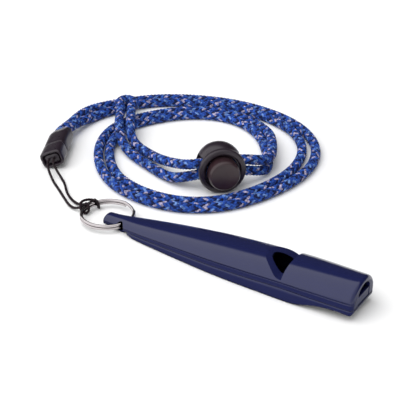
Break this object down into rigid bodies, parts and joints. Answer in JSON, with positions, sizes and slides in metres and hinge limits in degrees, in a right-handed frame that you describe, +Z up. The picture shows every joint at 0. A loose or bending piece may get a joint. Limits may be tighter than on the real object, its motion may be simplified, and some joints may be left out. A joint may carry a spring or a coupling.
{
  "type": "whistle on lanyard",
  "caption": "Pealess moulded whistle on a split ring, with a thin strap loop, snap connector and doubled braided lanyard through a sprung ball cord lock.",
  "frame": {"origin": "centre of the whistle's flat underside, on the surface it lies on", "axes": "+X from the tail to the mouth end, +Z up, +Y to the side the lanyard lies on"},
  "size_m": [0.1378, 0.1009, 0.0149],
  "materials": {
    "navy_plastic": "glossy moulded",
    "ring_steel": "bright nickel",
    "strap_black": "fine woven",
    "fitting_black": "satin moulded",
    "crimp_steel": "plain",
    "braid_blue": "braided",
    "spring_steel": "drawn wire"
  },
  "bodies": {
    "whistle": {"whistle_body": "navy_plastic", "whistle_base": "navy_plastic", "windway_block": "navy_plastic"},
    "ring": {"split_ring": "ring_steel"},
    "strap": {"strap_loop": "strap_black", "connector_plug": "fitting_black"},
    "lanyard": {"connector_housing": "fitting_black", "cord_crimp": "crimp_steel", "lanyard_cord": "braid_blue"},
    "cord_lock": {"lock_body": "fitting_black", "lock_spring": "spring_steel"},
    "button": {"lock_button": "fitting_black"}
  },
  "joints": [
    {"name": "ring_swing", "type": "hinge", "parent": "whistle", "child": "ring", "pos_m": [-0.0346, 0, 0.00205], "axis": [0, 1, 0], "range_deg": [0, 120]},
    {"name": "strap_travel", "type": "hinge", "parent": "ring", "child": "strap", "pos_m": [-0.04215, 0.0011, 0.00205], "axis": [0, 0, 1], "range_deg": [-4, 20]},
    {"name": "connector_pull", "type": "slide", "parent": "strap", "child": "lanyard", "axis": [-0.5, 0.866, 0], "range_m": [0, 0.0095]},
    {"name": "lock_slide", "type": "slide", "parent": "lanyard", "child": "cord_lock", "axis": [-0.7071, -0.7071, 0], "range_m": [-0.001, 0.001]},
    {"name": "button_press", "type": "slide", "parent": "cord_lock", "child": "button", "axis": [-0.7071, 0.7071, 0], "range_m": [0, 0.0024], "stiffness_N_per_m": 300, "springref_m": -0.001, "deforming": ["lock_spring"]}
  ]
}
